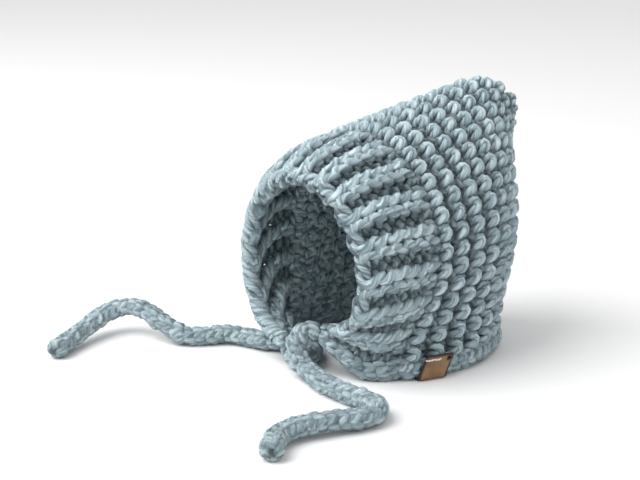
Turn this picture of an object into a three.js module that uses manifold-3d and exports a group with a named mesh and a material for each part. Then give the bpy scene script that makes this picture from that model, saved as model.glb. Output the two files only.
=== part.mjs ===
// A baby's hand-knitted pixie bonnet, in millimetres. +Z is up, the face opening looks towards -Y, the
// label is on the +X side, and the neck edge rests on z = 0. A knitted rectangle is folded over the head,
// so its fold is the ridge on top, and its last row is sewn to itself as the seam down the back.
import * as THREE from 'three';
import * as BufferGeometryUtils from 'three/addons/utils/BufferGeometryUtils.js';
import Module from 'manifold-3d';

// Driving dimensions
const ROWS = 24;               // from the face to the back seam, in rows of ribbing
const BRIM_ROWS = 8;           // of them, the brim's: ribbing and a first ridge of garter stitch
const ROW_HEIGHT = 7.6;
const CROWN_WALL = 9.6;        // thickness of the garter-stitch fabric
const BRIM_WALL = 11;          // thickness of the ribbing, which is drawn together
const EDGE_PULL = 6;           // how far the tight cast-on edge draws the first row in
const EDGE_PULL_ROWS = 3;
const CORNER_OUT = 3;          // how far the left front corner lies further out than the right one
const CORNER_FORWARD = 7;      // and further forward
const CORNER_ROWS = 4;
const EDGE_DIAMETER = 10;      // cast-on edge round the face
const EDGE_END = 0.965;        // how far down each side the cast-on edge runs, as a share of the row
const BAND_HEIGHT = 9.4;       // neckband
const BAND_WIDTH = 11;
const TIE_WIDTH = 13;          // knitted ties, a little flattened by their own weight
const TIE_THICKNESS = 11;
const TIE_ROOT = 0.7;          // share of that where a tie leaves the neckband
const TIE_END = 0.8;           // and at its bound-off end
const LABEL_WIDTH = 20;        // leather label, folded under the neckband
const LABEL_RISE = 15;
const LABEL_REACH = 9;         // how far its hidden half reaches under the band
const LABEL_ROW = 8.25;
const LABEL_STAND = 7;         // from the middle of the band to the leather
const LABEL_BEND = 3;          // inside radius of its fold
const LEATHER = 1.6;
const GAP = 0.3;               // between neighbouring pieces
const FABRIC_GAP = 0.9;        // between pieces of fabric, whose ends are curved
const PEAK_ROWS = 4;           // rows at the back over which the fold turns from top to peak
const ROUND_HANDLE = 0.56;     // length of a curve's handle that rounds a corner like a circle
const FALL_HANDLE = 0.4;       // and of one that falls straighter

// Mesh fineness
const WALES_DRAWN = 26;        // facets from one neck edge over the ridge to the other
const CROWN_STEPS = 11;
const BRIM_STEPS = 5;
const EDGE_STEPS = 44;
const BAND_STEPS = 46;
const TIE_STEPS = 60;
const ROUND_SIDES = 8;
const ROOT_STEPS = 3;          // rings over which a tie grows to its full size

// The middle surface of the fabric, one line for every four rows. The ridge lies in the plane x = 0, the
// cheek is the widest place of the row, and the neck is its lower end. Lift raises the lower end on that
// side: the right front corner is drawn up, and the left tie passes below the neckband. Roundness is how far
// the row leaves the ridge level, as a share of the cheek's width; tuck is how far its lower end turns in
// under the chin; lean is how far the row stays back below the peak before it falls to the cheek.
const COLUMNS = [
  'row', 'ridgeY', 'ridgeZ', 'cheekX', 'cheekY', 'cheekZ', 'neckX', 'neckY',
  'liftRight', 'liftLeft', 'roundness', 'tuck', 'lean',
];
const fabric = [
  [0, -90, 123, 56, -88, 62, 9.5, -81, 16, 3, 0.52, 1, 0],
  [4, -61, 130, 60, -58, 68, 38, -72, 0, 13, 0.52, 0.4, 0],
  [8, -30, 137, 61, -29, 73, 54, -44, 0, 0, 0.5, 0, 0],
  [12, 1, 142.5, 60, 1, 76, 58, -13, 0, 0, 0.45, 0, 0],
  [16, 32, 150, 52, 28, 77, 50, 15, 0, 0, 0.38, 0, 0.1],
  [20, 62, 154, 31.5, 48.5, 78, 31, 38, 0, 0, 0.34, 0, 0.6],
  [24, 89, 140, 0, 57, 80, 0, 48, 0, 0, 0.34, 0, 1.1],
].map((values) => Object.fromEntries(COLUMNS.map((name, i) => [name, values[i]])));

// The ties, as points along their middle from the neckband's end to the free end.
const rightTie = [
  [7, -82.6, 21.2], [3.5, -84.5, 24.5], [0, -87.5, 25], [-1, -91.5, 21], [1, -94.5, 14.5],
  [7, -96.5, 8.8], [15, -98.5, 6], [25, -101.5, 5.7], [36, -104.5, 5.7], [47, -106.5, 5.7],
  [58, -107, 5.7], [69, -107, 5.8], [79, -108.5, 6], [87, -112.5, 6.2], [91.5, -119.5, 6.2],
  [91.5, -128, 6.3], [88, -137, 6.8], [84.5, -147, 7.2], [81, -158, 7.2], [79.5, -170, 6.4],
  [84, -182, 5.8], [95, -193.5, 5.7],
];
const leftTie = [
  [-9, -90, 8], [-5.8, -90.3, 7.6], [-3, -87, 7], [-3.5, -80.5, 6.2], [-8, -74, 5.8],
  [-14.5, -69, 5.7], [-22, -66, 5.7],
  [-30, -67.5, 5.7], [-36.5, -73, 5.7], [-43, -79, 5.7], [-51, -82, 5.7], [-61, -84, 5.7],
  [-70, -89, 5.7], [-76, -97, 5.7], [-81, -106, 5.7], [-89, -112, 7], [-101, -115.5, 11.5],
  [-115, -117.5, 16], [-128, -119.5, 17], [-136, -126, 15], [-136.5, -138, 12], [-131, -153, 9],
  [-123.5, -170, 6.7], [-115, -186, 5.7],
];

const yarn = { roughness: 0.95, metalness: 0 };
const crownWool = new THREE.MeshStandardMaterial({ color: 0x9fb2ba, ...yarn });
const brimWool = new THREE.MeshStandardMaterial({ color: 0x93a8b1, ...yarn });
const edgeWool = new THREE.MeshStandardMaterial({ color: 0xa9bcc4, ...yarn });
const tieWool = new THREE.MeshStandardMaterial({ color: 0xa3b8c0, ...yarn });
const leather = new THREE.MeshStandardMaterial({ color: 0x9a7459, roughness: 0.6, metalness: 0 });

const clamp = THREE.MathUtils.clamp;
const lerp = THREE.MathUtils.lerp;

// --- The fabric's shape ---

// The table's line before or after index i, with the back seam as a mirror: past it lies the other side.
function line(i, name) {
  const last = fabric.length - 1;
  if (i < 0) return 2 * fabric[0][name] - fabric[1][name];
  if (i <= last) return fabric[i][name];
  if (name.startsWith('ridge')) return 2 * fabric[last][name] - fabric[last - 1][name];
  return name.endsWith('X') ? -fabric[last - 1][name] : fabric[last - 1][name];
}

// A column's value at any row, on a smooth curve through the table.
function column(name, row) {
  const spacing = fabric[1].row - fabric[0].row;
  const i = clamp(Math.floor(row / spacing), 0, fabric.length - 2);
  const t = row / spacing - i;
  const [a, b, c, d] = [-1, 0, 1, 2].map((k) => line(i + k, name));
  return b + 0.5 * t * (c - a + t * (2 * a - 5 * b + 4 * c - d + t * (3 * (b - c) + d - a)));
}

// The way out of the fabric, seen from above, at the cheek or the neck of a row.
function outward(place, row) {
  const step = 0.05;
  const dx = column(`${place}X`, row + step) - column(`${place}X`, row - step);
  const dy = column(`${place}Y`, row + step) - column(`${place}Y`, row - step);
  return row >= ROWS ? new THREE.Vector3(0, 1, 0) : new THREE.Vector3(dy, -dx, 0).normalize();
}

// A pull that is full at the face and dies away over some rows.
function fade(amount, row, rows) {
  return amount * Math.max(0, 1 - row / rows) ** 2;
}

// The lower end of a row, above the neckband, drawn with positive x.
function neckEnd(row, side) {
  const lift = Math.max(0, column(side < 0 ? 'liftLeft' : 'liftRight', row));
  const corner = side < 0 ? fade(1, row, CORNER_ROWS) : 0;
  return new THREE.Vector3(
    column('neckX', row) + corner * CORNER_OUT,
    column('neckY', row) - corner * CORNER_FORWARD,
    BAND_HEIGHT + FABRIC_GAP + lift,
  );
}

// One row on one side (+1 or -1) from the ridge to the neck, at a depth from the middle of the fabric,
// drawn with positive x. Along the curve it returns, equal steps are equal lengths, as stitches are.
function course(row, side, depth = 0) {
  const pull = fade(EDGE_PULL, row, EDGE_PULL_ROWS);
  const toPeak = clamp((row - ROWS + PEAK_ROWS) / PEAK_ROWS, 0, 1);
  const ridge = new THREE.Vector3(0, column('ridgeY', row), column('ridgeZ', row) - pull);
  ridge.add(new THREE.Vector3(0, depth * toPeak, depth));
  const cheek = new THREE.Vector3(column('cheekX', row), column('cheekY', row), column('cheekZ', row));
  cheek.addScaledVector(outward('cheek', row), depth - pull);
  const tuck = clamp(column('tuck', row), 0, 1);
  const neck = neckEnd(row, side).addScaledVector(outward('neck', row), depth);
  const rise = ridge.z - cheek.z;
  const drop = cheek.z - neck.z;
  const shoulder = ridge.clone().add(new THREE.Vector3(cheek.x * column('roundness', row), 0, 0));
  const back = Math.max(0, column('lean', row)) * (ridge.y - cheek.y);
  const temple = cheek.clone().add(new THREE.Vector3(0, back, rise * ROUND_HANDLE));
  const jaw = cheek.clone().add(new THREE.Vector3(0, 0, -drop * lerp(FALL_HANDLE, ROUND_HANDLE, tuck)));
  const underTuck = new THREE.Vector3((cheek.x - neck.x) * ROUND_HANDLE, 0, 0);
  const underFall = new THREE.Vector3(0, 0, drop * FALL_HANDLE);
  const chin = neck.clone().add(underFall.lerp(underTuck, tuck));
  const path = new THREE.CurvePath();
  path.add(new THREE.CubicBezierCurve3(ridge, shoulder, temple, cheek));
  path.add(new THREE.CubicBezierCurve3(cheek, jaw, chin, neck));
  return path;
}

// --- Closed meshes ---

// A closed mesh from points and faces of three or four corners, with its faces turned outwards.
function solid(points, faces) {
  const index = faces.flatMap(([a, b, c, d]) => (d === undefined ? [a, b, c] : [a, b, c, a, c, d]));
  let volume = 0;
  for (let i = 0; i < index.length; i += 3) {
    const [a, b, c] = [0, 1, 2].map((k) => points[index[i + k]]);
    volume += a.dot(b.clone().cross(c));
  }
  if (volume < 0) index.reverse();
  const geometry = new THREE.BufferGeometry();
  const numbers = points.flatMap((p) => p.toArray());
  geometry.setAttribute('position', new THREE.Float32BufferAttribute(numbers, 3));
  geometry.setIndex(index);
  const merged = BufferGeometryUtils.mergeVertices(geometry, 1e-3);
  const kept = [];
  for (let i = 0; i < merged.index.count; i += 3) {
    const corners = [0, 1, 2].map((k) => merged.index.getX(i + k));
    if (new Set(corners).size === 3) kept.push(...corners);
  }
  merged.setIndex(kept);
  return merged;
}

// Joins rings of equally many points, and closes the first and last with a fan.
function loft(rings) {
  const n = rings[0].length;
  const points = rings.flat();
  const faces = [];
  for (let r = 0; r + 1 < rings.length; r += 1) {
    for (let i = 0; i < n; i += 1) {
      const j = (i + 1) % n;
      faces.push([r * n + i, r * n + j, (r + 1) * n + j, (r + 1) * n + i]);
    }
  }
  for (const [start, turned] of [[0, true], [(rings.length - 1) * n, false]]) {
    const middle = new THREE.Vector3();
    for (let i = 0; i < n; i += 1) middle.addScaledVector(points[start + i], 1 / n);
    points.push(middle);
    for (let i = 0; i < n; i += 1) {
      const pair = [start + i, start + ((i + 1) % n)];
      faces.push([...(turned ? pair.reverse() : pair), points.length - 1]);
    }
  }
  return solid(points, faces);
}

// A point of a row, from -1 at the left neck edge over 0 at the ridge to 1 at the right neck edge.
function fabricPoint(row, along, depth = 0) {
  const side = Math.sign(along) || 1;
  const point = course(row, side, depth).getPoint(Math.abs(along));
  return point.setX(point.x * side);
}

// The wall of fabric between two rows. A last row at the back seam meets its own mirror image there.
function wall(fromRow, toRow, steps, thickness) {
  const rings = [];
  for (let k = 0; k <= steps; k += 1) {
    const row = lerp(fromRow, toRow, k / steps);
    const skins = [thickness / 2, -thickness / 2].map((depth) => {
      const points = [];
      for (let i = 0; i <= WALES_DRAWN; i += 1) {
        points.push(fabricPoint(row, (2 * i) / WALES_DRAWN - 1, depth));
      }
      return points;
    });
    rings.push([...skins[0], ...skins[1].reverse()]);
  }
  const n = rings[0].length;
  const faces = [];
  for (let r = 0; r < steps; r += 1) {
    for (let i = 0; i < n; i += 1) {
      const j = (i + 1) % n;
      faces.push([r * n + i, r * n + j, (r + 1) * n + j, (r + 1) * n + i]);
    }
  }
  const closeEnd = (start, turned) => {
    for (let i = 0; i < WALES_DRAWN; i += 1) {
      const strip = [start + i, start + i + 1, start + n - 2 - i, start + n - 1 - i];
      faces.push(turned ? strip.reverse() : strip);
    }
  };
  closeEnd(0, true);
  if (toRow < ROWS) closeEnd(steps * n, false);
  return solid(rings.flat(), faces);
}

// An oval ring round a point, on two axes.
function oval(centre, acrossAxis, upAxis, width, height, share = 1) {
  const ring = [];
  for (let i = 0; i < ROUND_SIDES; i += 1) {
    const angle = ((i + 0.5) / ROUND_SIDES) * 2 * Math.PI;
    const reach = (share * 0.5) / Math.cos(Math.PI / ROUND_SIDES);
    ring.push(centre.clone()
      .addScaledVector(acrossAxis, Math.cos(angle) * width * reach)
      .addScaledVector(upAxis, Math.sin(angle) * height * reach));
  }
  return ring;
}

// --- The pieces ---

// The cast-on edge follows the first row over the head, from one front corner to the other.
function castOnEdge(clearance = 0) {
  const diameter = EDGE_DIAMETER + 2 * clearance;
  const rings = [];
  for (let k = 0; k <= EDGE_STEPS; k += 1) {
    const along = lerp(-EDGE_END, EDGE_END, k / EDGE_STEPS);
    const tangent = fabricPoint(0, along + 0.01).sub(fabricPoint(0, along - 0.01)).normalize();
    const forward = new THREE.Vector3(0, -1, 0).addScaledVector(tangent, tangent.y).normalize();
    const out = new THREE.Vector3().crossVectors(tangent, forward);
    rings.push(oval(fabricPoint(0, along), out, forward, diameter, diameter));
  }
  return loft(rings);
}

// The neckband hangs from the lower ends of the rows, from one front corner round the nape to the other.
function bandMiddle(row, side) {
  return neckEnd(row, side).sub(new THREE.Vector3(0, 0, FABRIC_GAP + BAND_HEIGHT / 2));
}

function neckband() {
  const down = new THREE.Vector3(0, 0, -1);
  const rings = [];
  for (let k = 0; k <= BAND_STEPS; k += 1) {
    const around = (2 * k) / BAND_STEPS - 1;
    const row = ROWS * (1 - Math.abs(around));
    const middle = bandMiddle(row, Math.sign(around));
    const ring = oval(middle, outward('neck', row), down, BAND_WIDTH, BAND_HEIGHT);
    rings.push(around < 0 ? ring.map((p) => p.setX(-p.x)) : ring);
  }
  return loft(rings);
}

// A tie is a knitted tube that lies on its flat side; its last stitches are drawn together.
function tie(route) {
  const path = new THREE.CatmullRomCurve3(route.map((p) => new THREE.Vector3(...p)), false, 'centripetal');
  const rings = [];
  for (let k = 0; k <= TIE_STEPS; k += 1) {
    const centre = path.getPointAt(k / TIE_STEPS);
    const tangent = path.getTangentAt(k / TIE_STEPS);
    const across = new THREE.Vector3(0, 0, 1).cross(tangent).normalize();
    const up = new THREE.Vector3().crossVectors(tangent, across);
    const share = k === TIE_STEPS ? TIE_END : lerp(TIE_ROOT, 1, clamp(k / ROOT_STEPS - 1, 0, 1));
    rings.push(oval(centre, across, up, TIE_WIDTH, TIE_THICKNESS, share));
  }
  return loft(rings);
}

// The label is a strip of leather, bent round the lower edge of the neckband.
function labelProfile(clearance) {
  const inside = LABEL_STAND - clearance;
  const outside = LABEL_STAND + LEATHER + clearance;
  const bend = LABEL_BEND;
  const profile = new THREE.Shape();
  profile.moveTo(outside, LABEL_RISE);
  profile.lineTo(outside, bend + LEATHER);
  profile.absarc(outside - bend - LEATHER, bend + LEATHER, bend + LEATHER, 0, -Math.PI / 2, true);
  profile.lineTo(LABEL_STAND - bend - LABEL_REACH - clearance, 0);
  profile.lineTo(LABEL_STAND - bend - LABEL_REACH - clearance, LEATHER + clearance);
  profile.lineTo(inside - bend, LEATHER + clearance);
  profile.absarc(inside - bend, bend + LEATHER + clearance, bend, -Math.PI / 2, 0, false);
  profile.lineTo(inside, LABEL_RISE);
  return profile;
}

function label(clearance = 0) {
  const width = LABEL_WIDTH + 2 * clearance;
  const geometry = new THREE.ExtrudeGeometry(labelProfile(clearance), {
    depth: width, bevelEnabled: false, curveSegments: 4,
  });
  geometry.translate(0, 0, -width / 2);
  const out = outward('neck', LABEL_ROW);
  const up = new THREE.Vector3(0, 0, 1);
  const along = new THREE.Vector3().crossVectors(out, up);
  const middle = bandMiddle(LABEL_ROW, 1).setZ(0);
  const place = new THREE.Matrix4().makeBasis(out, up, along).setPosition(middle);
  return weld(geometry.applyMatrix4(place));
}

function weld(geometry) {
  const bare = new THREE.BufferGeometry();
  bare.setAttribute('position', geometry.getAttribute('position'));
  bare.setIndex(geometry.index);
  return BufferGeometryUtils.mergeVertices(bare, 1e-4);
}

const wasm = await Module();
wasm.setup();

function toManifold(geometry) {
  return new wasm.Manifold(new wasm.Mesh({
    numProp: 3,
    vertProperties: new Float32Array(geometry.getAttribute('position').array),
    triVerts: new Uint32Array(geometry.index.array),
  }));
}

// Cuts the second shape out of the first.
function cut(geometry, tool) {
  const mesh = toManifold(geometry).subtract(toManifold(tool)).getMesh();
  const result = new THREE.BufferGeometry();
  result.setAttribute('position', new THREE.BufferAttribute(mesh.vertProperties, 3));
  result.setIndex(new THREE.BufferAttribute(mesh.triVerts, 1));
  return result;
}

const bonnet = new THREE.Group();
function addPiece(name, geometry, material) {
  geometry.computeVertexNormals();
  const mesh = new THREE.Mesh(geometry, material);
  mesh.name = name;
  bonnet.add(mesh);
}

const firstRow = (EDGE_DIAMETER / 2 + FABRIC_GAP) / ROW_HEIGHT;
addPiece('crown', wall(BRIM_ROWS + FABRIC_GAP / ROW_HEIGHT, ROWS, CROWN_STEPS, CROWN_WALL), crownWool);
addPiece('brim', cut(wall(firstRow, BRIM_ROWS, BRIM_STEPS, BRIM_WALL), castOnEdge(GAP)), brimWool);
addPiece('face_edge', castOnEdge(), edgeWool);
addPiece('neckband', cut(cut(neckband(), label(GAP)), castOnEdge(GAP)), brimWool);
addPiece('tie_right', tie(rightTie), tieWool);
addPiece('tie_left', tie(leftTie), tieWool);
addPiece('label', label(), leather);

export default bonnet;
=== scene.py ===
import math

import bmesh
import bpy
import numpy as np
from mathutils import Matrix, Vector


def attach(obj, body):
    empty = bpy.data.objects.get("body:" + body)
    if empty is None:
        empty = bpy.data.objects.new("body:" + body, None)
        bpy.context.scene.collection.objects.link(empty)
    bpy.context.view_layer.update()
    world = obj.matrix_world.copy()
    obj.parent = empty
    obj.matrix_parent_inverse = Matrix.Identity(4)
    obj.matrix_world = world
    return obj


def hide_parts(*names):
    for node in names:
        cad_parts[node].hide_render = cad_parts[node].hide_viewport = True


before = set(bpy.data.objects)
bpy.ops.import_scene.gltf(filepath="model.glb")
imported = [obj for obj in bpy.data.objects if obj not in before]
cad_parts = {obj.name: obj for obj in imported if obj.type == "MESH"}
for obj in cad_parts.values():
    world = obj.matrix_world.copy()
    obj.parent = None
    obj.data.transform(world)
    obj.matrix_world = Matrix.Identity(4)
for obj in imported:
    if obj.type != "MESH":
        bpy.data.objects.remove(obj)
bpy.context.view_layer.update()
bpy.ops.object.select_all(action="DESELECT")


# --- The cast-on edge ---
# The loops that the knitting was begun from. Each new stitch was slipped onto the needle over the one
# before it, so the edge lies round the face as a rope of three turned strands of the same thick wool.

MM = 0.001
ROWS = 24  # from the face to the back seam, in rows of ribbing
BRIM_ROWS = 8
WALES = 32  # stitches in a row, from one neck edge over the fold to the other
TABLE_ROWS = 4
PEAK_ROWS = 4  # the last rows, over which the fold turns down into the back seam
BAND_HEIGHT = 9.4
FABRIC_GAP = 0.9
EDGE_PULL = 6.0
EDGE_PULL_ROWS = 3
CORNER_OUT, CORNER_FORWARD = 3.0, 7.0
CORNER_ROWS = 4
ROUND_HANDLE = 0.56
FALL_HANDLE = 0.4
CURVE_POINTS = 41
SIDE_STEPS = 128  # along a row, from the fold to the neck
ROW_FINENESS = 4
FIRST_ROW = -2
WALL = 5.0

# The middle of the fabric in millimetres, with a line for every four rows from the face to the back seam.
COLUMNS = (
    "ridge_y", "ridge_z", "cheek_x", "cheek_y", "cheek_z", "neck_x", "neck_y",
    "lift_right", "lift_left", "roundness", "tuck", "lean",
)
FABRIC = np.array([
    (-90, 123, 56, -88, 62, 9.5, -81, 16, 3, 0.52, 1, 0),
    (-61, 130, 60, -58, 68, 38, -72, 0, 13, 0.52, 0.4, 0),
    (-30, 137, 61, -29, 73, 54, -44, 0, 0, 0.5, 0, 0),
    (1, 142.5, 60, 1, 76, 58, -13, 0, 0, 0.45, 0, 0),
    (32, 150, 52, 28, 77, 50, 15, 0, 0, 0.38, 0, 0.1),
    (62, 154, 31.5, 48.5, 78, 31, 38, 0, 0, 0.34, 0, 0.6),
    (89, 140, 0, 57, 80, 0, 48, 0, 0, 0.34, 0, 1.1),
])


def column(name, row):
    """A column's value at any row, on a smooth curve through the table."""
    values = FABRIC[:, COLUMNS.index(name)]
    if name.startswith("ridge"):
        after = 2 * values[-1] - values[-2]
    elif name.endswith("_x"):
        after = -values[-2]
    else:
        after = values[-2]
    line = [2 * values[0] - values[1], *values, after]
    i = int(np.clip(math.floor(row / TABLE_ROWS), 0, len(values) - 2))
    t = row / TABLE_ROWS - i
    a, b, c, d = line[i:i + 4]
    return b + 0.5 * t * (c - a + t * (2 * a - 5 * b + 4 * c - d + t * (3 * (b - c) + d - a)))


def outward(place, row):
    """The way out of the fabric, seen from above."""
    if row >= ROWS:
        return np.array((0.0, 1.0, 0.0))
    step = 0.05
    dx = column(place + "_x", row + step) - column(place + "_x", row - step)
    dy = column(place + "_y", row + step) - column(place + "_y", row - step)
    return np.array((dy, -dx, 0.0)) / math.hypot(dx, dy)


def fade(amount, row, rows):
    """An amount that dies away over the first rows."""
    return amount * max(0.0, 1 - row / rows) ** 2


def neck_end(row, side):
    """The lower end of a row, above the neckband, drawn with positive x."""
    lift = max(0.0, column("lift_left" if side < 0 else "lift_right", row))
    corner = fade(1, row, CORNER_ROWS) if side < 0 else 0
    return np.array((column("neck_x", row) + corner * CORNER_OUT,
                     column("neck_y", row) - corner * CORNER_FORWARD,
                     BAND_HEIGHT + FABRIC_GAP + lift))


def bezier(a, b, c, d, t):
    s = 1 - t
    return s ** 3 * a + 3 * s * s * t * b + 3 * s * t * t * c + t ** 3 * d


def length_along(line):
    """How far along a line each of its points is."""
    return np.concatenate([[0], np.cumsum(np.linalg.norm(np.diff(line, axis=0), axis=1))])


def course(row, side, depth):
    """One row on one side, from the fold on top to the neck, in equal steps along it."""
    pull = fade(EDGE_PULL, row, EDGE_PULL_ROWS)
    to_peak = np.clip((row - ROWS + PEAK_ROWS) / PEAK_ROWS, 0, 1)
    ridge_y, ridge_z = column("ridge_y", row), column("ridge_z", row)
    ridge = np.array((0, ridge_y + depth * to_peak, ridge_z + depth - pull))
    cheek = np.array([column("cheek_" + axis, row) for axis in "xyz"])
    cheek += outward("cheek", row) * (depth - pull)
    neck = neck_end(row, side) + outward("neck", row) * depth
    tuck = np.clip(column("tuck", row), 0, 1)
    rise, drop = ridge[2] - cheek[2], cheek[2] - neck[2]
    shoulder = ridge + (cheek[0] * column("roundness", row), 0, 0)
    lean = max(0.0, column("lean", row))
    temple = cheek + (0, lean * (ridge[1] - cheek[1]), rise * ROUND_HANDLE)
    jaw = cheek - (0, 0, drop * (FALL_HANDLE + (ROUND_HANDLE - FALL_HANDLE) * tuck))
    fall = np.array((0, 0, drop * FALL_HANDLE))
    turn = np.array(((cheek[0] - neck[0]) * ROUND_HANDLE, 0, 0))
    chin = neck + fall + (turn - fall) * tuck
    t = np.linspace(0, 1, CURVE_POINTS)[:, None]
    upper, lower = bezier(ridge, shoulder, temple, cheek, t), bezier(cheek, jaw, chin, neck, t)
    line = np.concatenate([upper, lower[1:]])
    length = length_along(line)
    even = np.linspace(0, length[-1], SIDE_STEPS + 1)
    return np.stack([np.interp(even, length, line[:, i]) for i in range(3)], 1) * (side, 1, 1)


def fabric_grid(depth):
    """Points at a depth, for every quarter row and every step from the left neck edge to the right."""
    lines = []
    for k in range((ROWS - FIRST_ROW) * ROW_FINENESS + 1):
        row = FIRST_ROW + k / ROW_FINENESS
        lines.append(np.concatenate([course(row, -1, depth)[:0:-1], course(row, 1, depth)]))
    return np.array(lines)


fabric_middle = fabric_grid(0.0)
fabric_out = (fabric_grid(WALL) - fabric_grid(-WALL)) / (2 * WALL)


def sample(grid, row, along):
    """The grid's values at rows and places along them, from -1 at the left neck edge to 1 at the right."""
    r = np.clip((row - FIRST_ROW) * ROW_FINENESS, 0, grid.shape[0] - 1.001)
    a = np.clip((along + 1) * SIDE_STEPS, 0, grid.shape[1] - 1.001)
    i, j = r.astype(int), a.astype(int)
    u, v = (r - i)[:, None], (a - j)[:, None]
    near = grid[i, j] * (1 - v) + grid[i, j + 1] * v
    far = grid[i + 1, j] * (1 - v) + grid[i + 1, j + 1] * v
    return near * (1 - u) + far * u


def on_fabric(row, along, depth):
    """Points of the fabric, and the way out of it there."""
    row, along, depth = np.broadcast_arrays(row, along, depth)
    out = sample(fabric_out, row, along)
    return sample(fabric_middle, row, along) + out * depth[:, None], out


def unit(vectors):
    """The vectors, each made one long."""
    return vectors / np.linalg.norm(vectors, axis=-1, keepdims=True)


PLIES = 3
PLY_PITCH = 22.0
PLY_SECTION = np.array([0.94, 1.02, 1.02] * PLIES)
# The share of painted light on each part of a ply: the groove beside it is painted in shade, its crests are
# left lit.
PLY_PAINTED_SHADE = np.array([0.5, 1.0, 1.0] * PLIES)
FIBRE_ROUND = 2.9
FIBRE_STRETCH = 0.09
draw = np.random.default_rng(7)


def yarn(points, out, radius, depth, thick, fullness=1.0):
    """A yarn of three soft plies along points, at a depth from the middle of a fabric.

    thick is how far the fabric reaches from its middle, and fullness how the yarn swells or is squeezed.
    It gives its corners, its faces, the place of each corner in the yarn and the painted light there:
    painted shade from 0 deep between the stitches, in the grooves between the plies and under the yarn, to
    1 on top.
    """
    n, sides = len(points), len(PLY_SECTION)
    ahead = np.concatenate([points[1:], points[-1:]])
    behind = np.concatenate([points[:1], points[:-1]])
    tangent = unit(ahead - behind)
    across = unit(np.cross(tangent, out))
    up = np.cross(across, tangent)
    length = length_along(points)
    end = np.minimum(np.minimum(length, length[-1] - length) / radius, 1)
    size = fullness * radius * np.sqrt(np.clip(1 - (1 - end) ** 2, 0.03, 1))
    own = np.arange(sides) / sides * 2 * math.pi
    angle = own + (2 * math.pi * length / PLY_PITCH + draw.uniform(0, 6))[:, None]
    reach = size[:, None] * PLY_SECTION
    corners = (points[:, None] + across[:, None] * (np.cos(angle) * reach)[..., None]
               + up[:, None] * (np.sin(angle) * reach)[..., None]).reshape(-1, 3)
    start = draw.uniform(0, 500)
    place = np.empty((n, sides, 3))
    place[..., 0], place[..., 1] = np.cos(own) * FIBRE_ROUND, np.sin(own) * FIBRE_ROUND
    place[..., 2] = (length * FIBRE_STRETCH + start)[:, None]
    # Painted shade: a corner is painted darker the deeper it lies in the fabric, on the yarn's underside
    # and in the grooves between the plies.
    beyond = np.broadcast_to(depth, n)[:, None] + np.sin(angle) * radius
    light = (np.clip(np.abs(beyond) / thick, 0, 1) * PLY_PAINTED_SHADE).ravel()
    i = np.arange(n - 1)[:, None] * sides
    k = np.arange(sides)[None]
    j, after = (k + 1) % sides, i + sides
    faces = np.stack([i + k, i + j, after + j, after + k], -1).reshape(-1, 4)
    corners = np.concatenate([corners, points[[0, -1]]])
    place = np.concatenate([place.reshape(-1, 3), place[[0, -1], 0] * (0, 0, 1)])
    light = np.concatenate([light, light[[0, -1]]])
    k, last = np.arange(sides), (n - 1) * sides
    fans = np.concatenate([
        np.stack([(k + 1) % sides, k, np.full(sides, n * sides)], 1),
        np.stack([last + k, last + (k + 1) % sides, np.full(sides, n * sides + 1)], 1)])
    return corners, faces, fans, place, light


def joined(name, yarns, material):
    """All the yarns of a piece as one mesh, in metres."""
    corners, faces, places, lights = [], [], [], []
    start = 0
    for points, quads, fans, place, light in yarns:
        corners.append(points * MM)
        places.append(place)
        lights.append(light)
        faces += (quads + start).tolist() + (fans + start).tolist()
        start += len(points)
    mesh = bpy.data.meshes.new(name)
    mesh.from_pydata(np.concatenate(corners), [], faces)
    mesh.shade_smooth()
    fibre = mesh.attributes.new("fibre", "FLOAT_VECTOR", "POINT")
    fibre.data.foreach_set("vector", np.concatenate(places).ravel())
    # The painted light of each corner, which the wool material turns into painted shade between the
    # stitches.
    painted_light_layer = mesh.attributes.new("painted_light", "FLOAT", "POINT")
    painted_light_layer.data.foreach_set("value", np.concatenate(lights))
    mesh.materials.append(material)
    piece = bpy.data.objects.new(name, mesh)
    bpy.context.collection.objects.link(piece)
    return piece


def node(tree, kind, inputs=(), **settings):
    """Adds a node, with values or links for its inputs."""
    made = tree.nodes.new(kind)
    for name, value in settings.items():
        setattr(made, name, value)
    for socket, value in dict(inputs).items():
        if isinstance(value, bpy.types.NodeSocket):
            tree.links.new(value, made.inputs[socket])
        else:
            made.inputs[socket].default_value = value
    return made


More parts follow.
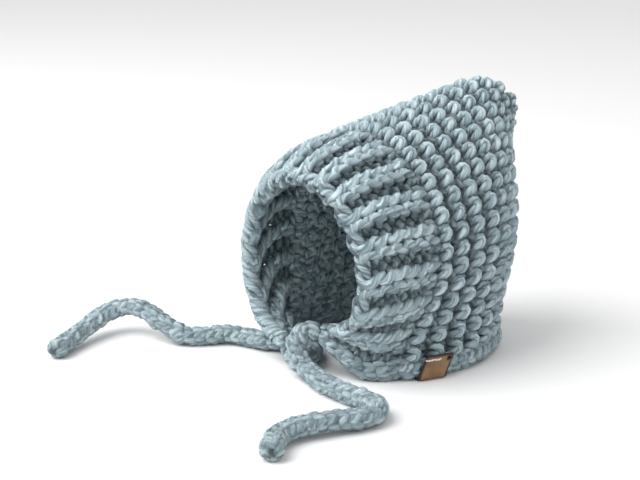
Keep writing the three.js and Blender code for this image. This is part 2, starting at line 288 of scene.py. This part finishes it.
def wool(name, painted_shade_colour, dark, light):
    """Soft plied wool: fibres that follow the twist, unevenly taken dye, and painted shade between the
    plies and the stitches.
    """
    material = bpy.data.materials.new(name)
    material.use_nodes = True
    tree = material.node_tree
    shader = tree.nodes["Principled BSDF"]
    place = node(tree, "ShaderNodeAttribute", attribute_name="fibre").outputs["Vector"]
    painted_light_amount = node(tree, "ShaderNodeAttribute", attribute_name="painted_light").outputs["Fac"]
    fibres = node(tree, "ShaderNodeTexNoise", {
        "Vector": place, "Scale": 1.9, "Detail": 5.0, "Roughness": 0.75})
    wisps = node(tree, "ShaderNodeTexNoise", {
        "Vector": place, "Scale": 0.5, "Detail": 2.0, "Roughness": 0.5})
    streaks = node(tree, "ShaderNodeMath", {
        0: fibres.outputs["Fac"], 1: 0.7, 2: wisps.outputs["Fac"]}, operation="MULTIPLY_ADD")
    strength = node(tree, "ShaderNodeMapRange", {
        "Value": streaks.outputs[0], "From Min": 0.62, "From Max": 1.0})
    dyed = node(tree, "ShaderNodeMix", {
        "Factor": strength.outputs[0], 6: (*dark, 1), 7: (*light, 1)}, data_type="RGBA")
    # Painted shade: where the painted light is low, between the stitches and the plies, the dyed colour is
    # mixed towards a dark painted shade colour.
    shade = node(tree, "ShaderNodeMapRange", {
        "Value": painted_light_amount, "From Min": 0.05, "From Max": 0.74})
    colour = node(tree, "ShaderNodeMix", {
        "Factor": shade.outputs[0], 6: (*painted_shade_colour, 1), 7: dyed.outputs[2]}, data_type="RGBA")
    tree.links.new(colour.outputs[2], shader.inputs["Base Color"])
    bump = node(tree, "ShaderNodeBump", {
        "Height": fibres.outputs["Fac"], "Strength": 1.0, "Distance": 0.0015})
    tree.links.new(bump.outputs[0], shader.inputs["Normal"])
    shader.inputs["Roughness"].default_value = 0.92
    shader.inputs["Specular IOR Level"].default_value = 0.2
    shader.inputs["Sheen Weight"].default_value = 0.3
    shader.inputs["Sheen Roughness"].default_value = 0.45
    shader.inputs["Sheen Tint"].default_value = (0.75, 0.85, 0.9, 1)
    return material


# The first colour is the painted shade between the stitches; the other two are the wool's own dye.
bonnet_wool = wool("bonnet_wool", (0.046, 0.078, 0.093), (0.205, 0.315, 0.36), (0.75, 0.91, 0.96))

EDGE_END = 0.965
EDGE_STRANDS = 3
EDGE_TURNS = 10
EDGE_REACH = 2.1
EDGE_BULGE, BULGE_LENGTH = 0.28, 0.6
STRAND_RADIUS = 2.5
CORE_ROW, CORE_DEPTH, CORE_RADIUS = 0.35, -1.6, 2.6
STRAND_STEPS = 20

around = np.linspace(-EDGE_END, EDGE_END, EDGE_TURNS * STRAND_STEPS + 1)
middle, out = on_fabric(0.0, around, 0.0)
forward = unit(np.cross(out, np.gradient(middle, axis=0)))
bulge = 1 + EDGE_BULGE * np.clip(-around / BULGE_LENGTH, 0, 1)
edge_thick = EDGE_REACH + STRAND_RADIUS
edge_yarns = []
for strand in range(EDGE_STRANDS):
    angle = (strand / EDGE_STRANDS - np.linspace(0, EDGE_TURNS, len(around)))[:, None] * 2 * math.pi
    spoke = forward * np.cos(angle) + unit(out) * np.sin(angle)
    points = middle + spoke * EDGE_REACH * bulge[:, None]
    edge_yarns.append(yarn(points, spoke, STRAND_RADIUS, EDGE_REACH, edge_thick, bulge))

points, out = on_fabric(CORE_ROW, around, CORE_DEPTH)
edge_yarns.append(yarn(points, unit(out), CORE_RADIUS, CORE_DEPTH, edge_thick))

face_edge = joined("cast_on_edge", edge_yarns, bonnet_wool)
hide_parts("face_edge")
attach(face_edge, "root")


# --- The ribbed brim ---
# Six rows of knit one, purl one, which draw together into raised ridges of V stitches that run back from
# the face, with the purl stitches sunk between them. Behind them comes the first ridge of garter stitch.

KNIT, PURL = 1, -1
LOOP_HEIGHT = 0.78
LOOP_FRONTS = (1, 1, 1)
LOOP_MARKS = (0.18, 0.32, 0.5)
FINE_STEPS = 40
RIB_ROWS = 6
RIB_STEPS = 20
RIB_YARN = 2.8
RIB_LEAN = 0.22
RIB_DEPTH = 2.1
RIB_RELIEF = 2.1
RIB_GATHER = 0.1
EDGE_GATHER = 0.07
BRIM_GARTER_ROWS = 2
SQUEEZE = 0.12
LOOSE_WALE, LOOSE_ROW, LOOSE_DEPTH = 0.04, 0.05, 0.3


def ease(t):
    """From 0 to 1, slow at both ends."""
    return t * t * (3 - 2 * t)


def front(layer, reach):
    """A layer in front of the fabric's middle, brought out by its reach."""
    return layer * reach if layer > 0 else layer


def row_of_loops(types, above, lean, height, fronts=LOOP_FRONTS, marks=LOOP_MARKS):
    """A row as (wale, level, layer), whose loops pass behind or in front of the rows below and above.

    fronts says how far the feet, the legs and the heads come out where they pass in front, and marks says
    where along a loop its legs, its crossings and its head are.
    """
    wales = len(types)
    turn = np.arange(wales * FINE_STEPS + 1) / FINE_STEPS
    wale = turn + lean * np.sin(turn * 4 * math.pi)
    level = -height * np.cos(turn * 2 * math.pi)
    foot, leg, head = fronts
    feet = -(np.concatenate([types[:1], types]) + np.concatenate([types, types[-1:]])) / 2
    knots, values = [], []
    for k in range(wales):
        knots += [k, *(k + mark for mark in marks), *(k + 1 - mark for mark in marks[::-1])]
        rising = [front(types[k], leg), front(above[k], leg), front(-above[k], head)]
        values += [front(feet[k], foot), *rising, *rising[::-1]]
    knots, values = np.array(knots + [wales]), np.array(values + [front(feet[wales], foot)], float)
    at = np.clip(turn, 0, wales - 1e-6)
    i = np.searchsorted(knots, at, side="right") - 1
    share = ease((at - knots[i]) / np.maximum(knots[i + 1] - knots[i], 1e-6))
    return wale, level, values[i] * (1 - share) + values[i + 1] * share


def along_row(wale, row):
    """Where a wale lies along its row. The cast-on edge draws the wales up towards the fold."""
    place = wale / (WALES / 2) - 1
    share = np.clip(np.abs(place), 0, 1)
    gather = EDGE_GATHER * np.clip(1 - row / BRIM_ROWS, 0, 1)
    return np.sign(place) * (np.abs(place) - gather * (1 - (2 * share - 1) ** 2))


def even_steps(count, *curves):
    """The same curves with evenly spaced points. The first curve says how far apart they are."""
    length = length_along(curves[0])
    even = np.linspace(0, length[-1], count + 1)
    return [np.stack([np.interp(even, length, values) for values in curve.reshape(len(curve), -1).T], 1)
            for curve in curves]


def unevenness(wale, loops):
    """A random amount for each loop of a hand knitted row, joined up along it."""
    return np.interp(wale, np.arange(loops + 1), draw.normal(0, 1, loops + 1))


def fabric_row(loops, row, depth, radius, steps):
    """A row of loops laid on the fabric. Its loops differ a little, as in hand knitting."""
    wale, level, layer = loops
    spacing = 1 if row < RIB_ROWS else GARTER_SPACING
    height = row + spacing * (0.5 + level)
    ribbed = ease(np.clip((RIB_ROWS + 0.5 - height) / 1.5, 0, 1))
    loose = [unevenness(wale, WALES) for _ in range(3)]
    relief = RIB_RELIEF * np.cos(math.pi * (wale - 0.5)) * ribbed
    layer = layer * depth + relief + LOOSE_DEPTH * loose[0]
    wale = wale - RIB_GATHER * np.cos(math.pi * wale) * ribbed
    height = height + LOOSE_ROW * loose[1]
    points, out = on_fabric(height, along_row(wale + LOOSE_WALE * loose[2], height), layer)
    thick = radius + depth + (RIB_RELIEF if row < RIB_ROWS else 0)
    points, out, layer = even_steps(WALES * steps, points, out, layer)
    layer = layer[:, 0]
    return yarn(points, out, radius, layer, thick, 1 + SQUEEZE * np.abs(layer) / thick)


rib = np.array([PURL if wale % 2 else KNIT for wale in range(WALES)])
all_knit, all_purl = np.full(WALES, KNIT), np.full(WALES, PURL)
brim_rows = []
for row in range(RIB_ROWS):
    above = all_knit if row == RIB_ROWS - 1 else rib
    loops = row_of_loops(rib, above, RIB_LEAN, LOOP_HEIGHT)
    brim_rows.append(fabric_row(loops, row, RIB_DEPTH, RIB_YARN, RIB_STEPS))

# Garter stitch shows a row of knit and a row of purl to each ridge, so that every second row has the fat
# round heads of its loops in front.
GARTER_ROWS = 20
GARTER_SPACING = (ROWS - RIB_ROWS) / GARTER_ROWS
RIDGE_STEPS, VALLEY_STEPS = 25, 11
RIDGE_YARN, VALLEY_YARN = 2.55, 3.3
GARTER_LEAN = 0.105
GARTER_DEPTH = 2.9
GARTER_HEIGHT = 0.9
GARTER_FRONTS = (0.15, 0.0, 1.2)
GARTER_MARKS = (0.1, 0.235, 0.4)


def garter_row(k):
    """A row of garter stitch, counted from the ribbing back."""
    types, above = (all_purl, all_knit) if k % 2 else (all_knit, all_purl)
    loops = row_of_loops(types, above, GARTER_LEAN, GARTER_HEIGHT, GARTER_FRONTS, GARTER_MARKS)
    radius, steps = (VALLEY_YARN, VALLEY_STEPS) if k % 2 else (RIDGE_YARN, RIDGE_STEPS)
    return fabric_row(loops, RIB_ROWS + k * GARTER_SPACING, GARTER_DEPTH, radius, steps)


brim_rows += [garter_row(k) for k in range(BRIM_GARTER_ROWS)]
brim = joined("ribbed_brim", brim_rows, bonnet_wool)
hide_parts("brim")
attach(brim, "root")


# --- The crown ---
# Nine more ridges of garter stitch in the same yarn. The last row is folded in half at the top and sewn to
# itself down the back with a whip stitch.

SEAM_STITCHES, SEAM_STEPS = 15, 14
SEAM_START, SEAM_END = 0.03, 0.99
SEAM_RADIUS = 2.5
SEAM_REACH = 2.7

crown_rows = [garter_row(k) for k in range(BRIM_GARTER_ROWS, GARTER_ROWS)]
down = np.linspace(SEAM_START, SEAM_END, SEAM_STITCHES * SEAM_STEPS)
middle, out = on_fabric(float(ROWS), down, 0.0)
turn = np.linspace(0, SEAM_STITCHES, len(down))[:, None] * 2 * math.pi
spoke = np.array((1.0, 0, 0)) * np.cos(turn) + unit(out) * np.sin(turn)
seam_thick = SEAM_REACH + SEAM_RADIUS
crown_rows.append(yarn(middle + spoke * SEAM_REACH, spoke, SEAM_RADIUS, SEAM_REACH, seam_thick))
crown = joined("crown_fabric", crown_rows, bonnet_wool)
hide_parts("crown")
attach(crown, "root")


# --- The neckband ---
# A knitted tube four stitches round, worked along the lower ends of the rows and sewn to them. It goes
# from one front corner round the nape to the other, and the ties go on from its ends.

BAND_WIDTH = 12.5
BAND_THICKNESS = 12.0
BAND_RAISE = 1.4
TUBE_ROW = 6.4
TUBE_YARN = 2.6
TUBE_WALES = 4
TUBE_STEPS = 20
TUBE_LEAN = 0.24
TUBE_HEIGHT = 0.56
TUBE_DEPTH = 2.1
TUBE_SQUEEZE = 0.3
# TUBE_SHADE deepens the painted shade of the tubes, so that the gaps between their stitches are painted
# darker.
TUBE_SHADE = 1.5
TUBE_LOOSE_LENGTH, TUBE_LOOSE_DEPTH = 0.5, 0.35
SWELL, SWELL_LENGTH = 0.06, 14.0
BAND_STEPS = 400


def knitted_tube(middle, across, up, width, thickness, root=1.0, tip=0.0):
    """A tube of knit stitches worked round and round on one yarn, along the points of its middle.

    root is its share of the full width at its start, and tip the length over which its end is rounded.
    """
    length = length_along(middle)
    rounds = round(length[-1] / TUBE_ROW)
    knit = np.ones((rounds + 1) * TUBE_WALES)
    wale, level, layer = row_of_loops(knit, knit, TUBE_LEAN, TUBE_HEIGHT)
    loose = [unevenness(wale, len(knit)) for _ in range(2)]
    rise = np.clip(wale / TUBE_WALES - 1, 0, rounds - 1) + level + TUBE_HEIGHT
    reach = rise / (rounds - 1 + 2 * TUBE_HEIGHT) * length[-1]
    reach = np.clip(reach + TUBE_LOOSE_LENGTH * loose[0], 0, length[-1])
    share = root + (1 - root) * ease(np.clip(reach / (2 * TUBE_ROW) - 0.5, 0, 1))
    swells = np.linspace(0, length[-1], round(length[-1] / SWELL_LENGTH) + 1)
    share *= 1 + SWELL * np.interp(reach, swells, draw.uniform(-1, 1, len(swells)))
    if tip:
        to_tip = np.minimum((length[-1] - reach) / tip, 1)
        share *= np.sqrt(np.clip(1 - (1 - to_tip) ** 2, 0.02, 1))

    def at(values):
        return np.stack([np.interp(reach, length, values[:, i]) for i in range(3)], 1)

    angle = wale / TUBE_WALES * 2 * math.pi
    layer = layer * TUBE_DEPTH + TUBE_LOOSE_DEPTH * loose[1]
    lift = layer - TUBE_YARN - TUBE_DEPTH
    side = unit(at(across)) * ((width / 2 + lift) * share * np.cos(angle))[:, None]
    top = unit(at(up)) * ((thickness / 2 + lift) * share * np.sin(angle))[:, None]
    points, out = at(middle) + side + top, unit(side + top + 1e-6)
    points, out, layer = even_steps(len(knit) * TUBE_STEPS, points, out, layer)
    layer = layer[:, 0]
    thick = TUBE_DEPTH + TUBE_YARN
    fullness = 1 + TUBE_SQUEEZE * layer / thick
    return yarn(points, unit(out), TUBE_YARN, layer, thick * TUBE_SHADE, fullness)


around = np.linspace(-1, 1, BAND_STEPS)
rows = ROWS * (1 - np.abs(around))
below = (0, 0, FABRIC_GAP + BAND_HEIGHT / 2 - BAND_RAISE)
band_middle, band_out = [], []
for place, row in zip(around, rows):
    side = 1 if place > 0 else -1
    band_middle.append(neck_end(row, side) * (side, 1, 1) - below)
    band_out.append(outward("neck", row) * (side, 1, 1))
band_middle, band_out = np.array(band_middle), np.array(band_out)
upright = np.tile((0.0, 0.0, 1.0), (len(around), 1))
tube = knitted_tube(band_middle, band_out, upright, BAND_WIDTH, BAND_THICKNESS)
neckband = joined("neckband_cord", [tube], bonnet_wool)
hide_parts("neckband")
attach(neckband, "root")


# --- The ties ---
# The same knitted tube goes on past each front corner as a tie, a little flattened by its own weight. The
# right one comes over the chin and lies in front; the left one passes below the lifted band and away.

TIE_WIDTH, TIE_THICKNESS = 13.0, 11.0
TIE_ROOT = 0.75
TIE_TIP = 5.0
RIGHT_TIE = (
    (7, -82.6, 21.2), (3.5, -84.5, 24.5), (0, -87.5, 25), (-1, -91.5, 21), (1, -94.5, 14.5),
    (7, -96.5, 8.8), (15, -98.5, 6), (25, -101.5, 5.7), (36, -104.5, 5.7), (47, -106.5, 5.7),
    (58, -107, 5.7), (69, -107, 5.8), (79, -108.5, 6), (87, -112.5, 6.2), (91.5, -119.5, 6.2),
    (91.5, -128, 6.3), (88, -137, 6.8), (84.5, -147, 7.2), (81, -158, 7.2), (79.5, -170, 6.4),
    (84, -182, 5.8), (95, -193.5, 5.7),
)
LEFT_TIE = (
    (-9, -90, 8), (-5.8, -90.3, 7.6), (-3, -87, 7), (-3.5, -80.5, 6.2), (-8, -74, 5.8),
    (-14.5, -69, 5.7), (-22, -66, 5.7), (-30, -67.5, 5.7), (-36.5, -73, 5.7), (-43, -79, 5.7),
    (-51, -82, 5.7), (-61, -84, 5.7), (-70, -89, 5.7), (-76, -97, 5.7), (-81, -106, 5.7),
    (-89, -112, 7), (-101, -115.5, 11.5), (-115, -117.5, 16), (-128, -119.5, 17), (-136, -126, 15),
    (-136.5, -138, 12), (-131, -153, 9), (-123.5, -170, 6.7), (-115, -186, 5.7),
)
ROUTE_STEPS = 16


def smooth_route(points):
    """A centripetal curve through the points."""
    p = np.array(points, float)
    p = np.concatenate([[2 * p[0] - p[1]], p, [2 * p[-1] - p[-2]]])
    line = []
    for a, b, c, d in zip(p, p[1:], p[2:], p[3:]):
        u, v, w = [np.linalg.norm(y - x) ** 0.5 for x, y in ((a, b), (b, c), (c, d))]
        start = (b - a) / u - (c - a) / (u + v) + (c - b) / v
        end = (c - b) / v - (d - b) / (v + w) + (d - c) / w
        start, end = start * v, end * v
        t = np.linspace(0, 1, ROUTE_STEPS, endpoint=False)[:, None]
        line.append(b + start * t + (3 * (c - b) - 2 * start - end) * t ** 2
                    + (2 * (b - c) + start + end) * t ** 3)
    return np.concatenate([*line, p[-2:-1]])


def knitted_tie(name, node_name, points):
    """One tie, along its route."""
    middle = smooth_route(points)
    tangent = unit(np.gradient(middle, axis=0))
    across = unit(np.cross((0, 0, 1.0), tangent))
    up = np.cross(tangent, across)
    tube = knitted_tube(middle, across, up, TIE_WIDTH, TIE_THICKNESS, TIE_ROOT, TIE_TIP)
    tie = joined(name, [tube], bonnet_wool)
    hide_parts(node_name)
    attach(tie, "root")


knitted_tie("right_tie", "tie_right", RIGHT_TIE)
knitted_tie("left_tie", "tie_left", LEFT_TIE)


# --- The label ---
# A strip of tan leather cut with a hot tool, so that its edges are burnt dark. It is folded round the lower
# edge of the band and held by two stitches of pale thread near its top, beside a small punched hole.

LABEL_WIDTH, LABEL_RISE, LABEL_REACH = 17.5, 14.0, 9.0
LABEL_CORNER = 0.9
LABEL_ROW = 8.25
LABEL_STAND = 7.6
LABEL_BEND = 3.0
LABEL_SLANT = 5.0
LABEL_LIFT = 0.9
LEATHER = 1.6
BURNT = 1.7
HOLE_PLACE, HOLE_RADIUS = (6.4, 11.8), 0.8


def only(mesh, kind, test):
    """Selects only the corners, edges or faces of the mesh in edit mode whose middle passes the test."""
    shape = bmesh.from_edit_mesh(mesh)
    for group in (shape.verts, shape.edges, shape.faces):
        for item in group:
            item.select = False
    for item in getattr(shape, kind):
        corners = [item] if kind == "verts" else item.verts
        middle = sum((corner.co for corner in corners), Vector()) / len(corners)
        if test(middle / MM):
            item.select_set(True)
    shape.select_flush_mode()
    bmesh.update_edit_mesh(mesh)


bpy.ops.mesh.primitive_grid_add(x_subdivisions=20, y_subdivisions=14, size=1)
label = bpy.context.object
label.name = label.data.name = "leather_label"
bpy.ops.object.mode_set(mode="EDIT")
flat_height = LABEL_RISE - LABEL_BEND
bpy.ops.transform.resize(value=(LABEL_WIDTH * MM, flat_height * MM, 1))
bpy.ops.transform.rotate(value=-math.pi / 2, orient_axis="X", center_override=(0, 0, 0))
middle_height = LABEL_BEND + flat_height / 2
bpy.ops.transform.translate(value=(0, 0, middle_height * MM))
only(label.data, "verts", lambda m: math.dist((m.x, m.z), HOLE_PLACE) < 0.7)
bpy.ops.mesh.bevel(offset=HOLE_RADIUS * MM, affect="VERTICES", segments=2)
bpy.ops.mesh.delete(type="FACE")
only(label.data, "verts", lambda m: m.z > LABEL_RISE - 0.1 and abs(m.x) > LABEL_WIDTH / 2 - 0.1)
bpy.ops.mesh.bevel(offset=LABEL_CORNER * MM, affect="VERTICES", segments=3)
only(label.data, "edges", lambda m: m.z < LABEL_BEND + 0.1)
bend_middle = (0, LABEL_BEND * MM, LABEL_BEND * MM)
bpy.ops.mesh.spin(steps=6, angle=-math.pi / 2, center=bend_middle, axis=(1, 0, 0))
only(label.data, "edges", lambda m: m.z < 0.1 and m.y > LABEL_BEND - 0.1)
bpy.ops.mesh.extrude_region_move(TRANSFORM_OT_translate={"value": (0, LABEL_REACH * MM, 0)})
bpy.ops.mesh.select_all(action="SELECT")
bpy.ops.mesh.remove_doubles(threshold=0.01 * MM)
bpy.ops.mesh.normals_make_consistent(inside=False)
bpy.ops.object.mode_set(mode="OBJECT")
wall = label.modifiers.new("wall", "SOLIDIFY")
wall.thickness, wall.offset = LEATHER * MM, 0
rounding = label.modifiers.new("rounding", "BEVEL")
rounding.width, rounding.segments, rounding.limit_method = 0.25 * MM, 2, "ANGLE"
rounding.angle_limit = math.radians(50)
for modifier in ("wall", "rounding"):
    bpy.ops.object.modifier_apply(modifier=modifier)
bpy.ops.object.shade_smooth_by_angle(angle=math.radians(40))

burnt = label.data.attributes.new("burnt", "FLOAT", "POINT")
for corner, mark in zip(label.data.vertices, burnt.data):
    place = corner.co / MM
    to_edge = min(LABEL_WIDTH / 2 - abs(place.x), LABEL_RISE - place.z)
    to_hole = math.dist((place.x, place.z), HOLE_PLACE) - HOLE_RADIUS
    mark.value = 1 - min(max(min(to_edge, to_hole) / BURNT, 0), 1)
    corner.co.x += LABEL_SLANT * MM * max(0, place.z - LABEL_BEND) / flat_height
    corner.co.z += LABEL_LIFT * MM

leather = bpy.data.materials.new("burnt_edge_leather")
leather.use_nodes = True
tree = leather.node_tree
place = node(tree, "ShaderNodeTexCoord").outputs["Object"]
near_edge = node(tree, "ShaderNodeAttribute", attribute_name="burnt").outputs["Fac"]
grain = node(tree, "ShaderNodeTexNoise", {
    "Vector": place, "Scale": 900.0, "Detail": 4.0, "Roughness": 0.6})
patches = node(tree, "ShaderNodeTexNoise", {"Vector": place, "Scale": 160.0, "Detail": 3.0})
tan = node(tree, "ShaderNodeMix", {
    "Factor": patches.outputs["Fac"], 6: (0.12, 0.06, 0.024, 1), 7: (0.34, 0.2, 0.095, 1)},
    data_type="RGBA")
edge = node(tree, "ShaderNodeMath", {
    0: patches.outputs["Fac"], 1: 0.5, 2: near_edge}, operation="MULTIPLY_ADD")
charred = node(tree, "ShaderNodeMapRange", {
    "Value": edge.outputs[0], "From Min": 0.45, "From Max": 0.95})
skin = node(tree, "ShaderNodeMix", {
    "Factor": charred.outputs[0], 6: tan.outputs[2], 7: (0.022, 0.016, 0.014, 1)}, data_type="RGBA")
bump = node(tree, "ShaderNodeBump", {
    "Height": grain.outputs["Fac"], "Strength": 0.5, "Distance": 0.0003})
shader = tree.nodes["Principled BSDF"]
tree.links.new(skin.outputs[2], shader.inputs["Base Color"])
tree.links.new(bump.outputs[0], shader.inputs["Normal"])
shader.inputs["Roughness"].default_value = 0.6
label.data.materials.append(leather)

label_out = outward("neck", LABEL_ROW)
label_turn = math.atan2(label_out[1], label_out[0]) + math.pi / 2
label_place = neck_end(LABEL_ROW, 1) * (1, 1, 0) + label_out * (LABEL_STAND + LEATHER / 2)


def placed_on_band(piece):
    """Turns a piece to face out of the band and moves it there."""
    piece.rotation_euler = (0, 0, label_turn)
    piece.location = Vector(label_place) * MM
    bpy.ops.object.select_all(action="DESELECT")
    piece.select_set(True)
    bpy.context.view_layer.objects.active = piece
    bpy.ops.object.transform_apply(location=True, rotation=True, scale=True)


placed_on_band(label)
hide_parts("label")
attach(label, "root")

thread = bpy.data.materials.new("pale_thread")
thread.use_nodes = True
tree = thread.node_tree
shader = tree.nodes["Principled BSDF"]
place = node(tree, "ShaderNodeTexCoord").outputs["Object"]
twist = node(tree, "ShaderNodeTexWave", {"Vector": place, "Scale": 700.0, "Distortion": 1.0})
pale = node(tree, "ShaderNodeMix", {
    "Factor": twist.outputs["Fac"], 6: (0.55, 0.4, 0.38, 1), 7: (0.88, 0.78, 0.76, 1)},
    data_type="RGBA")
bump = node(tree, "ShaderNodeBump", {
    "Height": twist.outputs["Fac"], "Strength": 0.6, "Distance": 0.0002})
tree.links.new(pale.outputs[2], shader.inputs["Base Color"])
tree.links.new(bump.outputs[0], shader.inputs["Normal"])
shader.inputs["Roughness"].default_value = 0.7

STITCHES = (-2.6, 2.5)
STITCH_HEIGHT = 12.7
STITCH_REACH, STITCH_RADIUS = 2.1, 0.55
STITCH_FLATNESS = 0.45
for number, along in enumerate(STITCHES):
    bpy.ops.mesh.primitive_torus_add(major_radius=STITCH_REACH * MM, minor_radius=STITCH_RADIUS * MM,
                                     major_segments=28, minor_segments=10)
    stitch = bpy.context.object
    stitch.name = stitch.data.name = f"label_stitch_{number + 1}"
    bpy.ops.object.mode_set(mode="EDIT")
    bpy.ops.mesh.select_all(action="SELECT")
    bpy.ops.transform.resize(value=(1, STITCH_FLATNESS, 1))
    bpy.ops.transform.translate(value=(along * MM, -LEATHER / 2 * MM, STITCH_HEIGHT * MM))
    bpy.ops.object.mode_set(mode="OBJECT")
    bpy.ops.object.shade_smooth()
    stitch.data.materials.append(thread)
    placed_on_band(stitch)
    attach(stitch, "root")


# --- The camera, the paper and the light ---
# A long lens, in front and to the label's side, a little above. The bonnet stands on a sheet of white
# paper in a bright room, with one large soft light in front of it, on the other side.

TARGET = Vector((0.0, -0.010, 0.070))
AZIMUTH, ELEVATION = math.radians(45), math.radians(14)
DISTANCE = 0.95
SENSOR_WIDTH, LENS = 36, 87.75
AIM_LEFT, AIM_BELOW = 0.05128, 0.00513

level = Vector((math.sin(AZIMUTH), -math.cos(AZIMUTH), 0))
back = level * math.cos(ELEVATION) + Vector((0, 0, math.sin(ELEVATION)))
right = back.cross(Vector((0, 0, -1))).normalized()
up = back.cross(right)
look = -back - right * AIM_LEFT - up * AIM_BELOW
camera = bpy.data.objects.new("camera", bpy.data.cameras.new("camera"))
bpy.context.collection.objects.link(camera)
camera.location = TARGET + back * DISTANCE
camera.rotation_euler = look.to_track_quat("-Z", "Y").to_euler()
camera.data.sensor_width = SENSOR_WIDTH
camera.data.lens = LENS
camera.data.clip_start, camera.data.clip_end = 0.05, 100
bpy.context.scene.camera = camera

bpy.ops.mesh.primitive_plane_add(size=12)
floor = bpy.context.object
floor.name = "floor"
paper = bpy.data.materials.new("paper")
paper.use_nodes = True
shader = paper.node_tree.nodes["Principled BSDF"]
shader.inputs["Base Color"].default_value = (0.83, 0.83, 0.83, 1)
shader.inputs["Roughness"].default_value = 0.9
floor.data.materials.append(paper)
world = bpy.data.worlds.new("studio")
bpy.context.scene.world = world
world.use_nodes = True
world.node_tree.nodes["Background"].inputs["Color"].default_value = (1, 1, 1, 1)
world.node_tree.nodes["Background"].inputs["Strength"].default_value = 0.82
light = bpy.data.objects.new("softbox", bpy.data.lights.new("softbox", "AREA"))
bpy.context.collection.objects.link(light)
light.data.shape = "DISK"
light.data.size = 1.8
light.data.energy = 33
light.location = (-0.5, -1.0, 1.3)
to_bonnet = Vector((0, 0, TARGET.z)) - light.location
light.rotation_euler = to_bonnet.to_track_quat("-Z", "Y").to_euler()
bpy.context.scene.view_settings.view_transform = "Standard"
